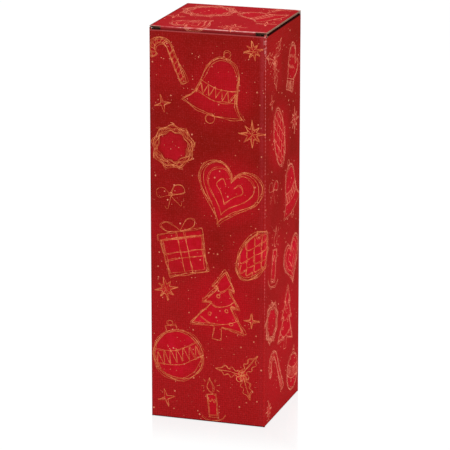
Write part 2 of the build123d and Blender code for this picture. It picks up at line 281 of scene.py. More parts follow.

# %% Paint shade and highlight on the cut edges
KRAFT_FRESH = tone(218, 186, 168)
KRAFT_SHADED = tone(34, 11, 9)
# pinkish red painted on the front wall's cut top for the light it catches
KRAFT_PINK_HIGHLIGHT = tone(158, 62, 60)
EAR_FRONT = -51.4 * MM
EAR_INSIDE = 42 * MM
DUST_FRONT = -46 * MM


def front_top(finish, colour):
    """The front wall's cut top: a painted pinkish highlight over its middle, painted deep shade under the
    lid's two ends.
    """
    x, z = finish.x, finish.z
    # painted pinkish highlight in the middle, painted deep shade under the lid's two ends
    shade = finish.mix(abs(x).ramp(EAR_INSIDE - 1.5 * MM, EAR_INSIDE), KRAFT_PINK_HIGHLIGHT, KRAFT_SHADED)
    return finish.mix(z.ramp(FRONT_EDGE - 0.7 * MM, FRONT_EDGE - 0.1 * MM), colour, shade)


def dust_flap_front_shade(finish, colour):
    """Painted shade on the dust flaps' short front edges, which lie deep in the slit."""
    return finish.mix(finish.y.ramp(DUST_FRONT + 0.6 * MM, DUST_FRONT), colour, KRAFT_SHADED)


def lid_edge(finish, colour):
    """The lid's cut edges: pale fresh fibres along the top, painted shade below, painted black shade under
    the two ears.
    """
    y, z = finish.y, finish.z
    ripple = (y * (2 * pi / FLUTE_PITCH)).sine().ramp(-0.6, 0.8, 0.25, 0.7)
    below = z.ramp(HEIGHT - 0.5 * MM, HEIGHT - 0.9 * MM)
    ear = y.ramp(EAR_FRONT + 1.6 * MM, EAR_FRONT + 1.3 * MM)
    # painted shade on the lower part of the cut edge
    colour = finish.mix(below * 0.6, finish.mix(ripple, colour, KRAFT_FRESH), KRAFT_SPECK)
    # painted black shade under the two ears
    return finish.mix(below * ear * 0.95, colour, KRAFT_SHADED)


def ear_rim(finish, colour):
    """Painted black shade on the front edge of the lid's inner liner, under the ears."""
    return finish.mix(finish.y.ramp(EAR_FRONT + 0.5 * MM, EAR_FRONT + 0.2 * MM), colour, KRAFT_SHADED)


print("edges shaded in front of", round(EAR_FRONT / MM, 1), "mm")

# %% Put the brown papers and the glue on
GLUE_DARK, GLUE_PALE = tone(206, 190, 150), tone(228, 218, 190)


def inner_liner_finish(name, shade=None):
    finish = Finish(name, specular=0.2)
    colour, relief = brown_paper(finish)
    if shade:
        colour = shade(finish, colour)
    roughness = finish.cloud(4 * MM).ramp(0.3, 0.7, 0.78, 0.92)
    return finish.finish(colour, roughness, relief)


def fluting_finish(name, shade=None):
    finish = Finish(name, specular=0.15)
    colour, relief = brown_paper(finish, (1.0, 1.0, 0.3))
    colour = finish.mix(finish.cloud(2.2 * MM).ramp(0.35, 0.7, 0.0, 0.5), colour, KRAFT_DARK)
    if shade:
        colour = shade(finish, colour)
    roughness = finish.cloud(MM).ramp(0.2, 0.8, 0.82, 0.95)
    return finish.finish(colour, roughness, relief)


def glue_finish():
    finish = Finish("seam_glue_film")
    blobs = finish.cloud(5 * MM)
    colour = finish.mix(blobs.ramp(0.35, 0.65), GLUE_DARK, GLUE_PALE)
    roughness = blobs.ramp(0.3, 0.7, 0.25, 0.45)
    return finish.finish(colour, roughness, blobs * 0.06 * MM)


inner_paper, fluting_paper = inner_liner_finish("inner_liner_paper"), fluting_finish("fluting_paper")
# the dust flaps' papers carry painted shade on their front edges
flap_inner = inner_liner_finish("flap_inner_paper", dust_flap_front_shade)
flap_fluting = fluting_finish("flap_fluting_paper", dust_flap_front_shade)
papers = {name: inner_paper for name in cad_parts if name.endswith("_inner_liner")}
papers.update({name: fluting_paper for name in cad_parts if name.endswith("_fluting")})
papers.update({
    "seam_glue": glue_finish(),
    "front_wall_inner_liner": inner_liner_finish("front_inner_paper", front_top),
    "front_wall_fluting": fluting_finish("front_fluting_paper", front_top),
    "lid_inner_liner": inner_liner_finish("lid_inner_paper", ear_rim),
    "lid_fluting": fluting_finish("lid_fluting_paper", lid_edge),
    "left_dust_flap_inner_liner": flap_inner,
    "right_dust_flap_inner_liner": flap_inner,
    "left_dust_flap_fluting": flap_fluting,
    "right_dust_flap_fluting": flap_fluting,
})
for name, paper in papers.items():
    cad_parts[name].data.materials[0] = paper
print("brown papers and glue on", len(papers), "nodes")

# %% [markdown]
# ## Folding the sheet
# The print is drawn on the flat sheet before the box is folded. On the sheet, x runs round the four
# walls with the middle of the front wall at zero, and y is the height. `fold_walls` carries a point of
# the sheet to its place on the box: straight on a wall, and round the corner within a fold. `fold_lid`
# does the same for the lid, whose front edge turns down into the tuck flap.

# %% Carry points from the flat sheet to the folded box
WALL_TURNS = {-1: (0, -1, -1, 0), 0: (1, 0, 0, -1), 1: (0, 1, 1, 0), 2: (-1, 0, 0, 1)}


def fold_walls(point):
    wall = max(-1, min(2, round(point.x / PANEL)))
    along = point.x - wall * PANEL
    ax, ay, nx, ny = WALL_TURNS[wall]
    past = max(abs(along) - FLAT, 0.0)
    angle = past / BOARD
    reach = BOARD + point.z
    side = 1 if along > 0 else -1
    run = side * (min(abs(along), FLAT) + reach * sin(angle))
    out = FLAT + reach * cos(angle)
    return Vector((ax * run + nx * out, ay * run + ny * out, point.y))


def fold_lid(point):
    past = max(TUCK_FOLD - point.y, 0.0)
    angle = min(past / BOARD, TUCK_TURN)
    below = max(past - TUCK_TURN * BOARD, 0.0)
    reach = BOARD + point.z
    y = max(point.y, TUCK_FOLD) - reach * sin(angle) - below * cos(angle)
    return Vector((point.x, y, LID_UNDERSIDE + reach * cos(angle) - below * sin(angle)))


def fold_right_dust(point):
    return Vector((FLAT - point.x, point.y, DUST_FOLD + BOARD + point.z))


def fold_left_dust(point):
    return Vector((point.x - FLAT, point.y, DUST_FOLD + BOARD + point.z))


print("the sheet's corner lands at", tuple(fold_walls(Vector((PANEL / 2, 0.1, 0)))))


# %% [markdown]
# ## Lines for the drawings
# Each little picture is a handful of lines in a square one unit wide. A smooth line runs through a few
# listed knots, a round one is part of an ellipse, and a plain list of points has corners.

# %% Make the lines
def smooth_line(knots, steps=8):
    """A smooth line through all the knots."""
    ends = [knots[0]] + list(knots) + [knots[-1]]
    points = []
    for a, b, c, d in zip(ends, ends[1:], ends[2:], ends[3:]):
        for i in range(steps):
            t = i / steps
            points.append(tuple(
                0.5 * (2 * q + (r - p) * t + (2 * p - 5 * q + 4 * r - s) * t**2
                       + (3 * q - p - 3 * r + s) * t**3)
                for p, q, r, s in zip(a, b, c, d)
            ))
    return points + [tuple(knots[-1])]


def round_line(x, y, rx, ry=None, start=0, turn=360, steps=28):
    ry = rx if ry is None else ry
    angles = [radians(start + turn * i / steps) for i in range(steps + 1)]
    return [(x + rx * cos(a), y + ry * sin(a)) for a in angles]


def mirrored(points):
    return [(-x, y) for x, y in points]


def turned(points, degrees, x=0.0, y=0.0, size=1.0):
    c, s = cos(radians(degrees)), sin(radians(degrees))
    return [(x + size * (px * c - py * s), y + size * (px * s + py * c)) for px, py in points]


def zigzag(x0, x1, low, high, count):
    return [(x0 + (x1 - x0) * i / count, high if i % 2 else low) for i in range(count + 1)]


def both_sides(knots):
    """A smooth line and its mirror image."""
    return [smooth_line(knots), smooth_line(mirrored(knots))]


def star(radii):
    """A closed line whose corners lie at the radii in turn."""
    turns = [2 * pi * i / len(radii) + pi / 2 for i in range(len(radii) + 1)]
    return [(r * cos(a), r * sin(a)) for r, a in zip(radii + radii[:1], turns)]


print("a circle has", len(round_line(0, 0, 1)), "points")


# %% [markdown]
# ## Winter pictures
# The sheet carries plain winter ornaments that anyone may draw: bells, firs, holly, hearts, presents,
# candles, mittens, wreaths, bows, cones, canes, baubles and stars. A picture gives its gold lines, of
# which the first is gone over most, and the shape that is filled with crimson.

# %% Draw the bell, the fir and the holly
def bell():
    side = [(0, 0.40), (0.13, 0.36), (0.22, 0.22), (0.26, 0.02), (0.31, -0.17), (0.43, -0.30)]
    shell = smooth_line(mirrored(side)[::-1] + side[1:])
    rim = smooth_line([(-0.43, -0.30), (-0.22, -0.36), (0, -0.385), (0.22, -0.36), (0.43, -0.30)])
    bands = [smooth_line([(-w, y), (0, y - 0.06), (w, y)]) for w, y in ((0.265, 0.04), (0.30, -0.12))]
    teeth = zigzag(-0.28, 0.28, -0.15, 0.0, 12)
    clapper = round_line(0, -0.43, 0.06)
    ring = round_line(0, 0.455, 0.05)
    return [shell, rim, *bands, teeth, clapper, ring], shell + rim[::-1][1:-1]


def fir():
    side = [(0, 0.5), (0.15, 0.25), (0.07, 0.26), (0.25, 0.02), (0.13, 0.04), (0.37, -0.30), (0.05, -0.27)]
    trunk = [(0.05, -0.27), (0.06, -0.44), (-0.06, -0.44), (-0.05, -0.27)]
    outline = mirrored(side)[::-1] + side[1:]
    swags = [smooth_line([(-w, y), (-w / 3, y - 0.07), (w / 2, y - 0.02), (w, y + 0.05)])
             for w, y in ((0.09, 0.27), (0.17, 0.06), (0.26, -0.18))]
    balls = [round_line(x, y, 0.022)
             for x, y in ((-0.05, 0.14), (0.08, -0.03), (-0.14, -0.12), (0.17, -0.2))]
    return [outline, trunk, *swags, *balls], outline


LEAF = [(-0.5, 0), (-0.38, 0.13), (-0.25, 0.07), (-0.12, 0.2),
        (0.0, 0.1), (0.15, 0.19), (0.26, 0.07), (0.5, 0)]


def holly():
    upper = smooth_line(LEAF, 5)
    blade = upper + [(x, -y) for x, y in upper[::-1]][1:-1]
    vein = [(-0.46, 0), (0.4, 0.01)]
    lines = [round_line(0, 0.03, 0.055)]
    for angle, x, y in ((32, 0.24, 0.15), (152, -0.24, 0.15), (268, 0.0, -0.28)):
        lines += [turned(part, angle, x, y, 0.56) for part in (blade + blade[:1], vein)]
    lines += [round_line(x, -0.06, 0.055) for x in (-0.08, 0.08)]
    return lines, round_line(0, 0.0, 0.14)


print("a bell has", len(bell()[0]), "lines")


# %% Draw the heart, the present, the candle and the mitten
def heart():
    outline = [(0.47 * sin(t) ** 3,
                0.40 * cos(t) - 0.155 * cos(2 * t) - 0.06 * cos(3 * t) - 0.03 * cos(4 * t))
               for t in (2 * pi * i / 48 for i in range(49))]
    inner = [(x * 0.74, y * 0.74 + 0.02) for x, y in outline]
    curls = both_sides([(0, -0.2), (0.1, -0.05), (0.2, 0.05), (0.13, 0.14), (0.06, 0.07)])
    return [outline, inner, *curls], outline[:-1]


def present():
    box = [(-0.36, 0.16), (0.36, 0.16), (0.33, -0.45), (-0.33, -0.45), (-0.36, 0.16)]
    cap = [(-0.4, 0.16), (-0.4, 0.27), (0.4, 0.27), (0.4, 0.16), (-0.4, 0.16)]
    bands = [[(x, 0.27), (x * 0.95, -0.45)] for x in (-0.07, 0.07)]
    bands += [[(-0.35, y), (0.35, y)] for y in (-0.08, -0.18)]
    loops = both_sides([(0, 0.27), (0.16, 0.45), (0.3, 0.42), (0.22, 0.3), (0, 0.27)])
    body = [(-0.38, 0.26), (0.38, 0.26), (0.33, -0.45), (-0.33, -0.45)]
    return [box, cap, *bands, *loops], body


def candle():
    stick = [(-0.1, 0.14), (0.1, 0.14), (0.1, -0.36), (-0.1, -0.36), (-0.1, 0.14)]
    flame = smooth_line([(0, 0.5), (-0.07, 0.33), (-0.045, 0.22), (0, 0.19),
                         (0.045, 0.22), (0.07, 0.33), (0, 0.5)])
    dish = smooth_line([(-0.28, -0.33), (-0.16, -0.43), (0, -0.45), (0.16, -0.43), (0.28, -0.33)])
    drips = smooth_line([(-0.1, 0.06), (-0.05, -0.03), (0.0, 0.05), (0.05, -0.06), (0.1, 0.03)])
    rays = [turned([(0.15, 0), (0.21, 0)], a, 0, 0.31) for a in range(-30, 211, 40)]
    return [stick, flame, dish, drips, *rays], stick[:-1]


def mitten():
    hand = smooth_line([(-0.2, -0.2), (-0.25, 0.1), (-0.2, 0.36), (-0.02, 0.47), (0.15, 0.36), (0.19, 0.12),
                        (0.3, 0.2), (0.4, 0.12), (0.33, -0.04), (0.17, -0.2)])
    cuff = [(-0.24, -0.2), (0.21, -0.2), (0.2, -0.42), (-0.23, -0.42), (-0.24, -0.2)]
    knit = zigzag(-0.23, 0.2, -0.4, -0.22, 12)
    rows = [zigzag(-0.22, 0.16, y, y + 0.06, 8) for y in (0.0, 0.2)]
    return [hand, cuff, knit, *rows], hand


print("a present has", len(present()[0]), "lines")


# %% Draw the star, the bow, the cone and the wreath
def eight_star():
    tips = star([0.5, 0.17, 0.38, 0.17] * 4)
    spokes = [[(0, 0), tips[i]] for i in range(0, 16, 2)]
    return [tips, *spokes], tips[:-1]


def bow():
    loops = both_sides([(0, 0), (0.2, 0.26), (0.44, 0.2), (0.42, -0.02), (0, 0)])
    tails = both_sides([(0, 0), (0.1, -0.2), (0.24, -0.42), (0.3, -0.3)])
    return loops + tails + [round_line(0, 0.01, 0.06)], loops[0][:-1]


def cone():
    shell = round_line(0, -0.02, 0.24, 0.46)
    scales = []
    for i in range(6):
        y = 0.32 - i * 0.13
        w = 0.24 * max(0.2, 1 - (y / 0.46) ** 2) ** 0.5
        for j in (-1, 0, 1):
            x = (j + 0.5 * (i % 2)) * w * 0.62
            scale = [(x - w * 0.33, y + 0.05), (x, y - 0.07), (x + w * 0.33, y + 0.05)]
            scales.append(smooth_line(scale, 4))
    return [shell, *scales], shell[:-1]


def wreath():
    rings = []
    for r, waves, depth in ((0.44, 9, 0.05), (0.40, 7, 0.09), (0.37, 11, 0.06), (0.33, 8, 0.07)):
        turn = [2 * pi * i / 64 for i in range(65)]
        reach = [1 + depth * sin(waves * t) for t in turn]
        rings.append([(r * cos(t) * k, r * sin(t) * k) for t, k in zip(turn, reach)])
    twigs = [smooth_line(turned([(0.42, 0), (0.48, 0.05), (0.5, 0.13)], a), 4) for a in range(0, 360, 40)]
    return rings + twigs, [(x * 0.98, y * 0.98) for x, y in rings[3][:-1]]


print("a cone has", len(cone()[0]), "lines")


# %% Draw the bauble, the cane and the sparkle
def bauble():
    shell = round_line(0, -0.06, 0.4)
    cap = [(-0.08, 0.33), (-0.08, 0.42), (0.08, 0.42), (0.08, 0.33)]
    bands = [smooth_line([(-w, y), (0, y - 0.08), (w, y)]) for w, y in ((0.37, 0.1), (0.39, -0.13))]
    teeth = zigzag(-0.37, 0.37, -0.18, 0.05, 14)
    return [shell, cap, *bands, teeth, round_line(0, 0.46, 0.045)], shell[:-1]


def cane():
    middle = round_line(0.0, 0.24, 0.17, start=200, turn=-200, steps=14) + [(0.17, 0.1), (0.17, -0.48)]
    turns = [radians(200 - i * 14.3) for i in range(14)] + [0, 0, 0]
    outer = [(x + 0.055 * cos(a), y + 0.055 * sin(a)) for (x, y), a in zip(middle, turns)]
    inner = [(2 * x - ox, 2 * y - oy) for (x, y), (ox, oy) in zip(middle, outer)]
    stripes = [[inner[i], outer[i + 1]] for i in range(1, 13, 2)]
    stripes += [[(0.115, y), (0.225, y + 0.06)] for y in (-0.42, -0.32, -0.22, -0.12, -0.02, 0.08)]
    return [outer + inner[::-1] + outer[:1], *stripes], outer + inner[::-1]


def sparkle():
    tips = star([0.5, 0.1] * 4)
    return [tips], tips[:-1]


print("a cane has", len(cane()[0]), "lines")

# %% [markdown]
# ## Ink on the flat sheet
# A gold line was drawn by hand, so it is gone over up to four times, and each pass strays a little and
# swells and thins. A pass is one strip: `create_grid` makes it straight, and its vertices are then set
# along the line. A fill is one face whose rim is inset, and the rim fades into the ground.

# %% Lay strokes, fills and dots
LINE_WIDTH = 0.29 * MM
STEP = 0.9 * MM
FILL_LIFT, LINE_LIFT, DOT_LIFT = 0.012 * MM, 0.024 * MM, 0.06 * MM
LINE_PILE = 0.0006 * MM
RIM = 1.6 * MM
STRAY_WAVES, SWELL_WAVES = 90.0, 160.0
SWELL, THINNEST, TIP = 0.7, 0.35, 0.45
chance = random.Random(7)


def resample(points, step):
    """Evenly spaced points along a line."""
    placed, left = [Vector(points[0])], step
    for a, b in zip(map(Vector, points), map(Vector, points[1:])):
        length = (b - a).length
        travelled = left
        while travelled <= length and length > 0:
            placed.append(a.lerp(b, travelled / length))
            travelled += step
        left = travelled - length
    if (placed[-1] - Vector(points[-1])).length > step * 0.3:
        placed.append(Vector(points[-1]))
    return placed


def stray(at, seed, spread):
    """A smooth small shift, the same every time for the same place and seed."""
    where = Vector((at * STRAY_WAVES, seed * 3.7, seed * 1.3))
    return Vector((noise.noise(where), noise.noise(where + Vector((9.1, 4.2, 0))))) * spread


def lay_stroke(bm, points, width, lift, seed, spread):
    path = resample(points, STEP)
    if len(path) < 2:
        return
    path = [p + stray(i * STEP, seed, spread) for i, p in enumerate(path)]
    last = len(path) - 1
    made = bmesh.ops.create_grid(bm, x_segments=last, y_segments=1, size=1.0)["verts"]
    for vert in made:
        i = round((vert.co.x + 1) / 2 * last)
        run = (path[min(i + 1, last)] - path[max(i - 1, 0)]).normalized()
        swell = 1 + SWELL * noise.noise(Vector((i * STEP * SWELL_WAVES, seed * 2.1, 0)))
        half = width / 2 * max(swell, THINNEST) * (TIP if i in (0, last) else 1)
        across = Vector((-run.y, run.x)) * half * (1 if vert.co.y > 0 else -1)
        vert.co = (path[i].x + across.x, path[i].y + across.y, lift)


def lay_fill(bm, points):
    """One filled shape with a rim that fades out. The ink attribute is 1 inside and 0 on the edge."""
    ink = bm.verts.layers.float["ink"]
    face = bm.faces.new([bm.verts.new((x, y, FILL_LIFT)) for x, y in points])
    face.normal_update()
    if face.normal.z < 0:
        face.normal_flip()
    bmesh.ops.inset_region(bm, faces=[face], thickness=RIM, use_boundary=True, use_even_offset=False)
    for vert in face.verts:
        vert[ink] = 1.0
    bmesh.ops.triangulate(bm, faces=[face])


def lay_dot(bm, x, y, radius):
    made = bmesh.ops.create_circle(bm, cap_ends=True, segments=7, radius=radius)["verts"]
    for vert in made:
        vert.co += Vector((x, y, DOT_LIFT))


def new_sheet():
    bm = bmesh.new()
    bm.verts.layers.float.new("ink")
    return bm


print("ink helpers ready")

# %% [markdown]
# ## Where the pictures go
# Every wall, the lid and the flaps have their own list: which picture, where on the sheet, how large and
# how far turned. Large and small ones alternate, some are cut by an edge, and some run round a corner.

# %% Set out the pictures
WALLS = {
    "front": [
        (cane, -37, 320, 46, 24), (bell, 10, 300, 64, -16), (eight_star, 41, 334, 18, 10),
        (sparkle, -40, 283, 16, 12), (wreath, -31, 246, 40, 0), (eight_star, 40, 262, 24, 0),
        (heart, 19, 210, 60, -18), (bow, -33, 203, 28, 14), (present, -22, 157, 52, 12),
        (cone, 43, 156, 52, -30), (fir, 12, 106, 66, -8), (eight_star, -38, 118, 22, 12),
        (bauble, -28, 62, 56, 14), (sparkle, 40, 96, 14, 0), (holly, 31, 46, 42, 20),
        (sparkle, -38, 18, 16, 14), (candle, 4, 20, 40, 6),
    ],
    "right": [
        (holly, -26, 320, 46, 10), (mitten, 24, 304, 46, -16), (sparkle, -34, 286, 14, 0),
        (cone, -12, 252, 60, 20), (eight_star, 34, 256, 24, 0), (bell, 23, 196, 56, 14),
        (bow, -29, 208, 28, -10), (candle, -25, 146, 54, -12), (heart, 27, 132, 46, 12),
        (fir, 12, 80, 60, -10), (wreath, -32, 90, 38, 0), (cane, -20, 38, 54, 30),
        (bauble, 32, 28, 40, -12), (eight_star, -40, 12, 18, 0),
    ],
    "back": [
        (bauble, -22, 306, 58, -12), (present, 31, 312, 44, 12), (sparkle, 4, 336, 16, 0),
        (candle, -33, 250, 50, 10), (wreath, 16, 252, 46, 0), (eight_star, 42, 272, 20, 8),
        (fir, -16, 190, 66, -8), (holly, 31, 197, 46, 20), (sparkle, -42, 215, 16, 0),
        (sparkle, 12, 166, 14, 8),
        (heart, 22, 137, 52, 14), (bow, -30, 141, 30, -12), (bell, -20, 86, 58, 12),
        (mitten, 30, 84, 44, -14), (eight_star, 4, 112, 20, 0), (cone, 10, 34, 56, 28),
        (sparkle, 42, 44, 18, 10), (cane, -34, 36, 48, -18),
    ],
    "left": [
        (fir, 20, 303, 64, 10), (heart, -27, 315, 42, -14), (sparkle, -6, 278, 18, 0),
        (bell, -18, 242, 56, -12), (candle, 31, 236, 50, 12), (eight_star, 8, 212, 22, 0),
        (present, -23, 182, 46, 14), (cone, 24, 174, 60, -24), (wreath, -26, 126, 42, 0),
        (mitten, 18, 118, 46, 18), (sparkle, 41, 142, 16, 0), (holly, -14, 80, 46, -16),
        (bow, 36, 80, 28, 10), (bauble, 22, 34, 52, 12), (cane, -28, 32, 50, 24),
        (eight_star, -2, 12, 18, 0),
    ],
}
LID = [(wreath, -22, 22, 50, 0), (bell, 26, 14, 48, 64), (heart, -18, -34, 40, 148),
       (sparkle, 41, -16, 18, 10), (eight_star, 18, -38, 26, 8), (sparkle, -43, -8, 16, 0),
       (holly, 34, 44, 28, -20)]
DUST = [(eight_star, 22, -18, 24, 0), (sparkle, 30, 10, 18, 20), (bow, 12, 18, 22, 30)]
WALL_NUMBER = {"left": -1, "front": 0, "right": 1, "back": 2}
print("pictures on the walls:", sum(len(w) for w in WALLS.values()))


# %% [markdown]
# ## The ground of the print
# The ground is a deep brick red, warmer towards the floor, with crimson light round each picture. That
# light is a soft ball at the picture's centre, so the same sum works on every wall and across the
# folds. The rest is what printed board does: linen threads both ways, pale flecks, faint bars where the
# flutes press through, and bare brown paper wherever the surface does not face outwards.

# %% Work out the soft crimson lights
LIGHT_REACH, LIGHT_CORE = 0.72, 0.14
LARGE, MIDDLING = 56 * MM, 44 * MM


def glow_spots():
    """Where each picture glows, and its size."""
    spots = []
    for wall, pictures in WALLS.items():
        for _, x, y, size, _ in pictures:
            at = fold_walls(Vector((WALL_NUMBER[wall] * PANEL + x * MM, y * MM, 0)))
            spots.append((at, size * MM))
    for _, x, y, size, _ in LID:
        spots.append((fold_lid(Vector((x * MM, y * MM, 0))), size * MM))
    return spots


GLOWS = glow_spots()


def glows_near(low, high):
    """The crimson lights that reach into a box."""
    near = []
    for at, size in GLOWS:
        gap = Vector(max(low[i] - at[i], 0, at[i] - high[i]) for i in range(3))
        if gap.length < size * LIGHT_REACH:
            near.append((at, size))
    return near


def glow_strength(size):
    """Large pictures glow, and small ones hardly do."""
    return 0.95 if size > LARGE else 0.5 if size > MIDDLING else 0.25


def glow_light(finish, glows):
    """The strongest of the lights at each point, fainter towards the lid."""
    light = None
    for at, size in glows:
        away = finish.distance(at)
        spot = away.ramp(size * LIGHT_REACH, size * LIGHT_CORE) * glow_strength(size)
        light = spot if light is None else light.most(spot)
    return light * finish.z.ramp(340 * MM, 190 * MM, 0.5, 0.88)


print("crimson lights:", len(GLOWS))

# %% Mix the printed ground
BRICK = tone(151, 27, 20)
WARM = tone(193, 33, 36)
CRIMSON = tone(216, 23, 38)
DARK_GRAIN = tone(122, 14, 8)
FLECK = tone(222, 78, 84)
# pale pink for ink rubbed off the folds and for painted highlight along them
WORN_AND_HIGHLIGHT = tone(240, 128, 128)
THREAD = 2 * MM


def linen(x, y, z):
    """The print's linen grain: threads both ways. Their pitch divides the box, so all walls match."""
    return sum((axis * (2 * pi / THREAD)).sine() for axis in (x, y, z))


def printed_ground(finish, glows, folds):
    """Colour of the ground, how strongly its ink is rubbed pale and highlighted on the folds, and its grain.
    """
    x, y, z = finish.x, finish.y, finish.z
    cloud = finish.cloud(60 * MM, 3.0, 0.6)
    warmth = (cloud.ramp(0.38, 0.66, 0.0, 0.45) + z.ramp(0.22, 0.01)).least(1.0)
    colour = finish.mix(warmth, BRICK, WARM)
    if glows:
        colour = finish.mix(glow_light(finish, glows), colour, CRIMSON)
    grain = finish.cloud(1.3 * MM, 3.0, 0.8, (1.0, 1.0, 0.7))
    colour = finish.mix(grain.ramp(0.3, 0.7, 0.0, 0.42), colour, DARK_GRAIN)
    colour = finish.mix(linen(x, y, z).ramp(1.6, -1.6, 0.0, 0.3), colour, DARK_GRAIN)
    flecks = finish.cloud(0.9 * MM, 2.0, 0.7).ramp(0.52, 0.74, 0.0, 0.3)
    colour = finish.mix(flecks, colour, FLECK)
    wear_and_highlight = grain * 0
    for wear in folds:
        colour, line = wear(finish, colour)
        if line is not None:
            wear_and_highlight = wear_and_highlight.most(line)
    # the pale fold lines are rubbed ink with painted highlight
    return finish.mix(wear_and_highlight * 0.8, colour, WORN_AND_HIGHLIGHT), wear_and_highlight, grain


def press_marks(finish, across):
    """Relief of the flutes that show through, the paper's unevenness and its grain."""
    along = (finish.x, finish.y, finish.z)[across]
    flutes = (along * (2 * pi / FLUTE_PITCH)).sine()
    uneven = finish.cloud(17 * MM, 2.0)
    fine = finish.cloud(0.6 * MM, 2.0, 0.6)
    return flutes * 0.014 * MM + uneven * 0.22 * MM + fine * 0.012 * MM


print("printed ground ready")

# %% [markdown]
# Each kind of fold has its own function. It changes the colour with rubbed ink, painted shade and painted
# sheen, and some also return how much the ink along the fold's line is rubbed pale and highlighted. That
# line lies where the surface is as far round from one side of the fold as from the other, which is the same
# place for both walls.

# %% Wear the upright folds and paint their sheen
# a pink painted sheen, and a pale rub that is also used as painted highlight
PINK_SHEEN = tone(190, 64, 72)
PALE_RUB_AND_HIGHLIGHT = tone(252, 196, 188)


def fold_line(finish, first, second, width):
    """Ink rubbed pale in patches, with painted highlight, along the middle of a fold, where it is as far
    round from either side.
    """
    patches = finish.cloud(5 * MM, 3.0, 0.7).ramp(0.34, 0.6)
    return abs(first - second).ramp(width, 0.15 * MM) * (patches * 0.8 + 0.2)


def corner_wear_and_sheen(finish, colour):
    """The upright folds wear pale in beads, one for each flute, from rubbed ink and painted highlight, and
    the near one also has a painted pink sheen band on the front wall and a scuffed top."""
    x, y, z = finish.x, finish.y, finish.z
    first, second = abs(x) - FLAT, abs(y) - FLAT
    # painted pink sheen near the front wall's corners, strongest at the near corner and higher up
    rough = finish.cloud(2.5 * MM, 3.0, 0.7).ramp(0.25, 0.75, 0.4, 1.0)
    band = first.ramp(-5.0 * MM, -1.8 * MM) * first.ramp(0.1 * MM, -0.7 * MM) * rough
    band = band * y.ramp(-FLAT - 0.9 * MM, -FLAT - 1.4 * MM) * x.ramp(-30 * MM, 30 * MM, 0.2, 1.0)
    colour = finish.mix(band * z.ramp(120 * MM, 320 * MM, 0.1, 0.42), colour, PINK_SHEEN)
    scuff = z.ramp(312 * MM, 346 * MM) * finish.cloud(1.6 * MM, 3.0, 0.8).ramp(0.46, 0.66)
    near = x.ramp(0, 40 * MM) * y.ramp(0, -40 * MM)
    rubbed = scuff * first.least(second).ramp(-1.4 * MM, 1.0 * MM) * near
    colour = finish.mix(rubbed * 0.6, colour, PALE_RUB_AND_HIGHLIGHT)
    # pale beads at each flute: ink rubbed off the crease and painted highlight on the bumps
    beads = (z * (2 * pi / FLUTE_PITCH)).sine().ramp(-0.4, 0.8)
    reach = z.ramp(60 * MM, 130 * MM, 0.08, 0.65) + z.ramp(240 * MM, 330 * MM, 0.0, 0.35)
    line = fold_line(finish, first, second, 0.75 * MM)
    return colour, line * (beads * 0.8 + 0.2) * reach


print("upright folds wear at", round(FLAT / MM, 2), "mm")

# %% Wear the other folds and paint their shade
# the lid's top painted lighter and redder: painted light from above
LID_LIT_GROUND = tone(190, 26, 40)
SCUFFED = tone(214, 186, 178)
SHADED = tone(34, 3, 4)


def bottom_shade(finish, colour):
    """Painted shade on the folds into the base."""
    rise = BOARD - finish.z
    return finish.mix(rise.ramp(-0.2 * MM, 1.1 * MM) * 0.85, colour, SHADED), None


def rim_wear_and_highlight(finish, colour):
    """A faint pale line under the front wall's cut top: rubbed ink and a painted highlight on the arris."""
    below = finish.z - FRONT_EDGE
    return finish.mix(below.ramp(-1.3 * MM, -0.2 * MM) * 0.3, colour, WORN_AND_HIGHLIGHT), None


def dust_fold_shade(finish, colour):
    """Painted shade on the dust flaps' folds, deep under the lid."""
    x, z = finish.x, finish.z
    shade = (z - DUST_FOLD).ramp(0, 0.5 * MM) * (abs(x) - FLAT).ramp(-0.6 * MM, 0)
    return finish.mix(shade, colour, SHADED), None


def tuck_wear_and_light(finish, colour):
    """The lid's top is painted lighter and redder as painted light, a painted pink sheen lies on the front
    fold's face, and its fold line is rubbed pale in long dashes with painted highlight.
    """
    y, z = finish.y, finish.z
    first, second = TUCK_FOLD - y, z - LID_UNDERSIDE
    # painted light on the lid's top
    colour = finish.mix(z.ramp(LID_UNDERSIDE, HEIGHT) * 0.5, colour, LID_LIT_GROUND)
    # painted pink sheen on the front fold's face
    colour = finish.mix(first.ramp(-1.6 * MM, 0.4 * MM) * 0.25, colour, PINK_SHEEN)
    line = fold_line(finish, first, second, MM)
    # the pale rubbed dashes along the fold line are partly painted highlight
    pale = finish.cloud(6 * MM, 2.0, 0.5, (0.35, 1.0, 1.0)).ramp(0.46, 0.6)
    return finish.mix(line * pale, colour, PALE_RUB_AND_HIGHLIGHT), line * (1 - pale * 0.8)


def hinge_wear_and_shade(finish, colour):
    """The lid's left edge and back fold end in painted thin shade, its back right corner is crushed, and its
    fold line is rubbed pale with painted highlight.
    """
    x, y, z = finish.x, finish.y, finish.z
    first, second = y - FLAT, z - LID_UNDERSIDE
    # painted thin shade along the lid's left edge and on the back fold
    rim = x.ramp(1.8 * MM - HALF, 0.3 * MM - HALF) * 0.6
    rim = rim.most(first.ramp(0.1 * MM, 0.9 * MM) * z.ramp(LID_UNDERSIDE, HEIGHT) * 0.5)
    colour = finish.mix(rim, colour, SHADED)
    crushed = finish.distance(CRUSHED_CORNER).ramp(5 * MM, 2 * MM, 0.0, 0.85)
    colour = finish.mix(crushed, colour, SCUFFED)
    return colour, fold_line(finish, first, second, MM)


print("lid folds wear at", round(LID_UNDERSIDE / MM, 2), "mm")

# %% Put the printed paper on the outer liners
FRONT, BACK, LEFT, RIGHT = (0, -1, 0), (0, 1, 0), (-1, 0, 0), (1, 0, 0)
UP, DOWN, TUCKED = (0, 0, 1), (0, 0, -1), (0, -0.7, 0.7)


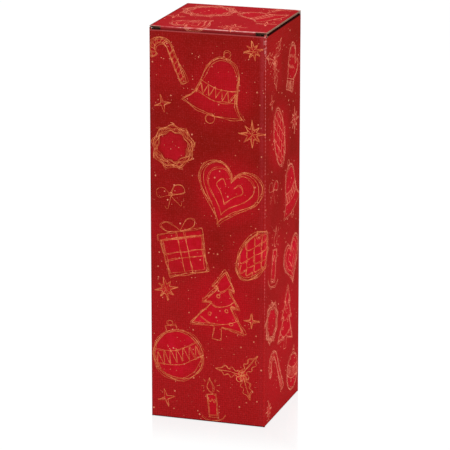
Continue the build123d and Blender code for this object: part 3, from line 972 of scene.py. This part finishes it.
def outer_liner_finish(name, faces, across, folds, glows):
    finish = Finish(name + "_printed_paper", specular=0.001)
    colour, wear_and_highlight, grain = printed_ground(finish, glows, folds)
    bare, bare_relief = brown_paper(finish)
    # painted highlight and shade on the front wall's cut top, painted shade on the dust flaps' front edges
    if name == "front_wall":
        bare = front_top(finish, bare)
    if name.endswith("dust_flap"):
        bare = dust_flap_front_shade(finish, bare)
    printed = finish.facing(faces).ramp(0.45, 0.55)
    colour = finish.mix(printed, bare, colour)
    roughness = (grain.ramp(0.2, 0.8, 0.4, 0.52) + wear_and_highlight * 0.15) * printed + (1 - printed) * 0.88
    relief = press_marks(finish, across) * printed + bare_relief * (1 - printed)
    return finish.finish(colour, roughness, relief)


PRINTED = {
    "front_wall": (FRONT, 2, (rim_wear_and_highlight, corner_wear_and_sheen, bottom_shade)),
    "back_wall": (BACK, 2, (corner_wear_and_sheen, bottom_shade, hinge_wear_and_shade)),
    "right_wall": (RIGHT, 2, (corner_wear_and_sheen, bottom_shade, dust_fold_shade)),
    "left_wall": (LEFT, 2, (corner_wear_and_sheen, bottom_shade, dust_fold_shade)),
    "seam_flap": (BACK, 2, (corner_wear_and_sheen,)),
    "lid": (UP, 1, (tuck_wear_and_light, hinge_wear_and_shade)),
    "tuck_flap": (TUCKED, 1, (tuck_wear_and_light,)),
    "right_dust_flap": (UP, 0, (dust_fold_shade,)),
    "left_dust_flap": (UP, 0, (dust_fold_shade,)),
    "base_front_flap": (DOWN, 1, (bottom_shade,)),
    "base_tongue": (DOWN, 1, (bottom_shade,)),
    "base_right_flap": (DOWN, 0, (bottom_shade,)),
    "base_left_flap": (DOWN, 0, (bottom_shade,)),
    "base_back_flap": (DOWN, 1, (bottom_shade,)),
}
for name, (faces, across, folds) in PRINTED.items():
    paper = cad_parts[name + "_outer_liner"]
    glowing = "wall" in name or name == "lid"
    near = glows_near(*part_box(name + "_outer_liner")) if glowing else []
    paper.data.materials[0] = outer_liner_finish(name, faces, across, folds, near)
    print(name, "has", len(near), "crimson lights")

# %% [markdown]
# ## Inks
# The gold is a metallic-looking process ink: ochre on the front, rosier where the light grazes the sides
# and the lid. The crimson fill starts from the same ground and fades into it along its rim, so no edge
# shows, and it is stronger lower down.

# %% Make the inks
HOT, HOT_PALE = tone(206, 18, 36), tone(222, 24, 50)


def gold_finish(name, deep, bright):
    finish = Finish(name, specular=0.02)
    speckle = finish.cloud(1.6 * MM, 2.0, 0.7)
    patches = finish.cloud(6 * MM, 2.0)
    share = speckle.ramp(0.3, 0.7) * 0.5 + patches.ramp(0.35, 0.65) * 0.5
    colour = finish.mix(share, deep, bright)
    roughness = speckle.ramp(0.2, 0.8, 0.36, 0.52)
    return finish.finish(colour, roughness, speckle * 0.01 * MM)


def fill_finish(name, glows, folds):
    finish = Finish(name, specular=0.001)
    colour, _, grain = printed_ground(finish, glows, folds)
    ink = finish.node("Attribute", {"attribute_name": "ink"}, out=2)
    hot = finish.mix(finish.cloud(6 * MM).ramp(0.35, 0.7), HOT, HOT_PALE)
    uneven = finish.cloud(45 * MM).ramp(0.35, 0.65, 0.3, 0.8)
    lower = finish.z.ramp(300 * MM, 130 * MM, 0.4, 1.0)
    colour = finish.mix(ink * (uneven * lower), colour, hot)
    roughness = grain.ramp(0.2, 0.8, 0.4, 0.52)
    return finish.finish(colour, roughness, press_marks(finish, 2))


gold = gold_finish("gold_ink", tone(198, 76, 42), tone(255, 162, 102))
rose_gold = gold_finish("rose_gold_ink", tone(210, 80, 56), tone(255, 166, 128))
dot_gold = gold_finish("dot_ink", tone(204, 96, 68), tone(246, 158, 124))
print("inks:", gold.name, rose_gold.name, dot_gold.name)

# %% [markdown]
# ## Printing and folding
# Each picture is drawn on a small flat sheet of its own. `bisect_plane` trims it at the sheet's edges
# and cuts it into narrow strips where a fold will turn, and only then are its vertices carried to the
# box. The finished drawings are gathered into one mesh for each wall and ink.

# %% Trim, score and fold a drawing
AXES = Vector((1, 0, 0)), Vector((0, 1, 0))
WALL_SCORES = [(wall + 0.5) * PANEL + step * ARC / 8 for wall in (-1, 0, 1) for step in range(-4, 5)]
TUCK_SCORES = [TUCK_FOLD - step * TUCK_TURN * BOARD / 8 for step in range(9)]


def cut(bm, at, normal, clear=False):
    """Divides the faces along a plane, and clears what lies past it if asked to."""
    geometry = bm.verts[:] + bm.edges[:] + bm.faces[:]
    bmesh.ops.bisect_plane(bm, geom=geometry, plane_co=at, plane_no=normal, clear_outer=clear, dist=1e-8)


def trim(bm, low, high):
    """Cuts away what lies past the edges of the sheet."""
    for axis, normal in enumerate(AXES):
        cut(bm, normal * low[axis], -normal, True)
        cut(bm, normal * high[axis], normal, True)


def score(bm, axis, lines):
    """Cuts the drawing along straight lines, so that it can bend there."""
    places = [vert.co[axis] for vert in bm.verts] or [0]
    low, high = min(places), max(places)
    for at in lines:
        if low < at < high:
            cut(bm, AXES[axis] * at, AXES[axis])


def gather(target, bm, fold, lift=0.0):
    """Lifts and folds a flat drawing into place and adds it to a larger mesh."""
    for vert in bm.verts:
        vert.co.z += lift
        vert.co = fold(vert.co)
    passing = bpy.data.meshes.new("passing")
    bm.to_mesh(passing)
    target.from_mesh(passing)
    bpy.data.meshes.remove(passing)
    bm.free()


print("folds scored at", len(WALL_SCORES), "lines")

# %% Draw one picture
OUTLINE_ROUNDS = ((1.0, 0.0), (1.065, 1.5), (0.94, -2.0), (1.025, -1.0))
DETAIL_ROUNDS = ((1.0, 0.0), (1.035, 1.0))
OUTLINE_STRAY, DETAIL_STRAY = 1.5 * MM, 1.2 * MM
BIG = 30
BEAD_STEP, BEAD_SPREAD = 5 * MM, 1.1
FILL_SHARE = 0.97


def draw_picture(picture, x, y, size, angle, seed):
    """Returns three flat meshes: gold lines, crimson fill and dots."""
    lines, fill, dots = new_sheet(), new_sheet(), new_sheet()
    drawn, body = picture()
    big = size > BIG
    laid = 0
    for number, points in enumerate(drawn):
        outline = big and number == 0
        rounds = OUTLINE_ROUNDS if outline else DETAIL_ROUNDS[:2 if big or number == 0 else 1]
        spread = OUTLINE_STRAY if outline else DETAIL_STRAY
        for one, (growth, slant) in enumerate(rounds):
            placed = turned(points, angle + slant, x * MM, y * MM, size * MM * growth)
            width, lift = LINE_WIDTH * chance.uniform(0.75, 1.15), LINE_LIFT + laid * LINE_PILE
            lay_stroke(lines, placed, width, lift, seed * 17 + number * 5 + one, spread)
            laid += 1
        if outline:
            for at in resample(placed, BEAD_STEP):
                bead = at + Vector((chance.gauss(0, BEAD_SPREAD), chance.gauss(0, BEAD_SPREAD))) * MM
                lay_dot(dots, bead.x, bead.y, chance.uniform(0.2, 0.5) * MM)
    lay_fill(fill, turned(body, angle, x * MM, y * MM, size * MM * FILL_SHARE))
    for _ in range(int(size / 4)):
        a, r = chance.uniform(0, 2 * pi), chance.uniform(0.05, 0.6) * size * MM
        lay_dot(dots, x * MM + r * cos(a), y * MM + r * sin(a), chance.uniform(0.18, 0.55) * MM)
    return lines, fill, dots


def scatter(count, across, upward, radii):
    """A sheet of loose gold dots."""
    loose = new_sheet()
    for _ in range(count):
        x, y = chance.uniform(*across), chance.uniform(*upward)
        lay_dot(loose, x * MM, y * MM, chance.choice(radii) * MM)
    return loose


print("outlines are gone over", len(OUTLINE_ROUNDS), "times")

# %% Make pieces and print a panel
def make_object(name, bm, material):
    """Puts a finished mesh into the scene."""
    mesh = bpy.data.meshes.new(name)
    bm.to_mesh(mesh)
    bm.free()
    mesh.materials.append(material)
    made = bpy.data.objects.new(name, mesh)
    bpy.context.scene.collection.objects.link(made)
    return made


def piece(name, bm, material, body):
    """Turns a mesh into a thin printed piece that rides on a body."""
    bmesh.ops.dissolve_degenerate(bm, dist=1e-7, edges=bm.edges[:])
    made = make_object(name, bm, material)
    made.visible_shadow = made.visible_diffuse = False
    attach(made, body)
    print(name, len(made.data.polygons), "faces on", body)


def print_panel(name, body, pictures, seed, paints, edges, fold, axis=0, scores=(), lift=0.0,
                specks=None, turn_over=False):
    """Prints a panel in gold lines, crimson fills and gold dots, and makes each ink a piece."""
    inks = [new_sheet() for _ in paints]
    for number, (picture, x, y, size, angle) in enumerate(pictures):
        for ink, drawing in zip(inks, draw_picture(picture, x, y, size, angle, seed + number)):
            trim(drawing, *edges)
            score(drawing, axis, scores)
            gather(ink, drawing, fold, lift)
    if specks:
        loose = scatter(*specks)
        trim(loose, *edges)
        gather(inks[-1], loose, fold, lift)
    for part, ink, paint in zip(("_gold_print", "_crimson_print", "_gold_dots"), inks, paints):
        if turn_over:
            bmesh.ops.reverse_faces(ink, faces=ink.faces[:])
        piece(name + part, ink, paint, body)


print("ready to print")

# %% [markdown]
# The sheet runs on past each wall, so a picture near a fold turns the corner. It ends just short of the
# wall's cut top, and at the seam. On every wall the drawings are followed by loose dots.

# %% Print the four walls
WALL_TOP = {"left": DUST_FOLD, "front": FRONT_EDGE, "right": DUST_FOLD, "back": LID_UNDERSIDE}
SHEET_LEFT, SHEET_RIGHT = -PANEL - 48.7 * MM, 2 * PANEL + FLAT
BARE_EDGE = 0.12 * MM
WALL_DOTS = (0.2, 0.24, 0.3, 0.42, 0.66, 0.8)

seed = 0
for wall, pictures in WALLS.items():
    middle = WALL_NUMBER[wall] * PANEL / MM
    near = glows_near(*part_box(wall + "_wall_outer_liner"))
    fill = fill_finish(wall + "_crimson_ink", near, (corner_wear_and_sheen,))
    print_panel(
        wall, "carton", [(picture, middle + x, *rest) for picture, x, *rest in pictures], seed + 1,
        (gold if wall == "front" else rose_gold, fill, dot_gold),
        ((SHEET_LEFT, BOARD), (SHEET_RIGHT, WALL_TOP[wall] - BARE_EDGE)), fold_walls, 0, WALL_SCORES,
        specks=(190, (middle - 51, middle + 51), (3, 344), WALL_DOTS),
    )
    seed += len(pictures)
print("pictures printed on the walls:", seed)

# %% [markdown]
# The lid's print runs over its front fold onto the tuck flap. The drawing is cut where the two halves
# of that fold meet, so that each half follows its own body when the box is opened. It is drawn twice
# from the same random state, once for each half. The lid's ink lies a hair higher, so that the tuck
# flap's ink slides beneath it as the fold opens.

# %% Print the lid, the tuck flap and the dust flaps
HALF_TURN = TUCK_FOLD - TUCK_TURN / 2 * BOARD
LID_SIDE, TUCK_SIDE = HALF - 0.3 * MM, 40 * MM
TUCK_END = TUCK_FOLD - TUCK_TURN * BOARD - 15 * MM
LID_INK_LIFT = 0.07 * MM
LID_DOTS = (0.22, 0.3, 0.38, 0.5, 0.72)
LID_SHEETS = {
    "lid": (((-LID_SIDE, HALF_TURN), (LID_SIDE, FLAT)), LID_INK_LIFT),
    "tuck_flap": (((-TUCK_SIDE, TUCK_END), (TUCK_SIDE, HALF_TURN)), 0.0),
}
DUST_EDGES = (0, -44 * MM), (40 * MM, 26 * MM)

near = glows_near(*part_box("lid_outer_liner"))
before = chance.getstate()
for body, (edges, lift) in LID_SHEETS.items():
    chance.setstate(before)
    fill = fill_finish(body + "_crimson_ink", near, (tuck_wear_and_light,))
    print_panel(body, body, LID, seed, (rose_gold, fill, dot_gold), edges, fold_lid, 1, TUCK_SCORES,
                lift, specks=(60, (-50, 50), (-66, 50), LID_DOTS))
seed += len(LID)
for side, fold, first in (("right", fold_right_dust, seed), ("left", fold_left_dust, seed + 40)):
    fill = fill_finish(side + "_dust_ink", [], (dust_fold_shade,))
    print_panel(side + "_dust", side + "_dust_flap", DUST, first, (rose_gold, fill, dot_gold),
                DUST_EDGES, fold, turn_over=side == "right")
print("lid and flaps printed")

# %% [markdown]
# ## Corners that stand up to the lid
# The cut that frees the front wall's top edge stops short of the corner, so there the outer liner stands
# a little higher and closes the slit under the lid. It is a strip of the sheet, bent by the same fold.
# The left one runs on along the side wall, and on the front it stands a hair higher beside the ear.

# %% Raise the outer liner at the two front corners
LIP_LOW, LIP_HIGH = DUST_FOLD - 0.5 * MM, LID_UNDERSIDE - 0.15 * MM
RISE_END, RISE_RUN = FLAT + 0.9 * MM, 0.5 * MM
LIP_THICKNESS, LIP_INSET = 0.25 * MM, -0.02 * MM


def corner_lip(side, sign, start, end, rise):
    bm = bmesh.new()
    for vert in bmesh.ops.create_grid(bm, x_segments=16, y_segments=2, size=1.0)["verts"]:
        across, along = (vert.co.x + 1) / 2, (vert.co.y + 1) / 2
        run = start + across * (end - start)
        top = LIP_HIGH + rise * max(0.0, min(1.0, (RISE_END - run) / RISE_RUN))
        height = LIP_LOW + (top - LIP_LOW) * along
        vert.co = fold_walls(Vector((sign * run, height, LIP_INSET)))
    bmesh.ops.recalc_face_normals(bm, faces=bm.faces[:])
    outward = sum((f.normal for f in bm.faces), Vector()).dot(Vector((sign, -1, 0)))
    if outward < 0:
        bmesh.ops.reverse_faces(bm, faces=bm.faces[:])
    bmesh.ops.solidify(bm, geom=bm.faces[:], thickness=LIP_THICKNESS)
    paper = outer_liner_finish(side + "_lip", (sign * 0.7, -0.7, 0), 2, (corner_wear_and_sheen,), [])
    piece(side + "_corner_lip", bm, paper, "carton")


corner_lip("left", -1, FLAT - 0.7 * MM, FLAT + ARC + 3.7 * MM, 0.3 * MM)
corner_lip("right", 1, FLAT, FLAT + ARC, 0.0)

# %% [markdown]
# ## Creases inside the moving folds
# Where a flap turns, the liner inside the fold is one unbroken paper. It is a grid laid on one flap's
# inner face and turned up onto the other at the crease.

# %% Bridge the inner liner across each moving fold
CREASE_REACH = 2.6 * MM
CREASE_LIFT = 0.04242 * MM


def crease_strip(name, carrier, mover, ends, corner, down, out):
    """A strip from down, along the carrier's inner face, over the corner and out along the mover's."""
    first, last, corner, down, out = map(Vector, (*ends, corner, down, out))
    bm = bmesh.new()
    made = bmesh.ops.create_grid(bm, x_segments=24, y_segments=12, size=1.0)["verts"]
    inward = (down + out).normalized() * CREASE_LIFT
    for vert in made:
        t, side = (vert.co.x + 1) / 2, vert.co.y
        way = down * max(-side, 0) + out * max(side, 0)
        vert.co = first.lerp(last, t) + corner + inward + way * CREASE_REACH
    bmesh.ops.recalc_face_normals(bm, faces=bm.faces[:])
    if sum(face.normal.dot(inward) for face in bm.faces) < 0:
        bmesh.ops.reverse_faces(bm, faces=bm.faces[:])
    made = make_object(name, bm, inner_paper)
    start = corner + down * CREASE_REACH
    end = corner + out * CREASE_REACH
    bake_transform(made, carrier, mover, start=tuple(start), end=tuple(end))
    print(name, "bends between", carrier, "and", mover)


LID_SPAN = (-50.2 * MM, 0, 0), (50.2 * MM, 0, 0)
TUCK_SPAN = (-41.8 * MM, 0, 0), (41.8 * MM, 0, 0)
DUST_SPAN = (0, -46.2 * MM, 0), (0, 49.4 * MM, 0)
ALONG_TUCK = (0, -cos(TUCK_TURN), -sin(TUCK_TURN))
crease_strip("lid_crease", "carton", "lid", LID_SPAN, (0, FLAT, LID_UNDERSIDE), DOWN, FRONT)
crease_strip("tuck_crease", "lid", "tuck_flap", TUCK_SPAN, (0, TUCK_FOLD, LID_UNDERSIDE), BACK, ALONG_TUCK)
crease_strip("right_dust_crease", "carton", "right_dust_flap", DUST_SPAN, (FLAT, 0, DUST_FOLD), DOWN, LEFT)
crease_strip("left_dust_crease", "carton", "left_dust_flap", DUST_SPAN, (-FLAT, 0, DUST_FOLD), DOWN, RIGHT)

# %% [markdown]
# ## Floor and background
# The photograph has a pure white ground that mirrors the box very faintly and takes only a breath of
# shadow. The floor shows the camera a white of strength 1, mixed with a little lit paper white for the
# shadow and a little gloss for the mirror image. To every other ray it is plain matt paper.

# %% Lay the floor
WHITE = (1, 1, 1, 1)
PAPER_WHITE = (0.82, 0.82, 0.82, 1)
SEEN_WHITE = 1.03
SHADOW_SHARE, MIRROR_SHARE, MIRROR_REACH = 0.03, 0.13, 75 * MM


def floor_finish():
    finish = Finish("white_floor")
    beside = (abs(finish.x) - HALF).most(abs(finish.y) - HALF)
    matt = finish.node("BsdfDiffuse", {}, {"Color": PAPER_WHITE})
    white = finish.node("Emission", {}, {"Color": WHITE, "Strength": SEEN_WHITE})
    mirror = finish.node("BsdfAnisotropic", {}, {"Color": WHITE, "Roughness": 0.12})
    shadowed = finish.node("MixShader", {}, {0: SHADOW_SHARE, 1: white, 2: matt})
    share = beside.ramp(0.0, MIRROR_REACH, MIRROR_SHARE, 0.0)
    glossy = finish.node("MixShader", {}, {0: share, 1: shadowed, 2: mirror})
    whole = finish.node("MixShader", {}, {0: finish.node("LightPath"), 1: matt, 2: glossy})
    finish.plug(finish.tree.nodes["Material Output"].inputs["Surface"], whole)
    return finish.material


bm = bmesh.new()
bmesh.ops.create_grid(bm, x_segments=4, y_segments=4, size=6.0)
floor = make_object("floor", bm, floor_finish())
floor.location.z = -0.02 * MM
print("floor laid")

# %% [markdown]
# ## Light
# The room gives every surface a low even light, and the camera and all gloss see it as white. Four
# softboxes light the box from the right, the front, above and behind, and gloss doesn't mirror them.

# %% Light the studio
ROOM_LIGHT, ROOM_WHITE = 0.42, 1.02
world = bpy.data.worlds.new("studio")
bpy.context.scene.world = world
room = Nodes(world)
seen = room.node("LightPath").most(room.node("LightPath", out="Is Glossy Ray"))
ground = room.tree.nodes["Background"]
room.plug(ground.inputs["Color"], WHITE)
room.plug(ground.inputs["Strength"], seen.ramp(0, 1, ROOM_LIGHT, ROOM_WHITE))


def softbox(name, place, size, watts):
    lamp = bpy.data.lights.new(name, "AREA")
    lamp.energy = watts
    lamp.size = size
    made = bpy.data.objects.new(name, lamp)
    bpy.context.scene.collection.objects.link(made)
    made.location = place
    made.rotation_mode = "QUATERNION"
    made.rotation_quaternion = (BOX_MIDDLE - Vector(place)).to_track_quat("-Z", "Y")
    made.visible_glossy = False


softbox("key_from_the_right", (1.5, -0.9, 1.5), 1.0, 21.5)
softbox("fill_from_the_front", (-0.6, -1.8, 0.1), 1.0, 6)
softbox("top_light", (0.1, 0.3, 2.0), 1.2, 10.2)
softbox("fill_from_behind", (-1.1, 1.5, 0.7), 1.2, 8)
print("four softboxes and a room light of", ROOM_LIGHT)
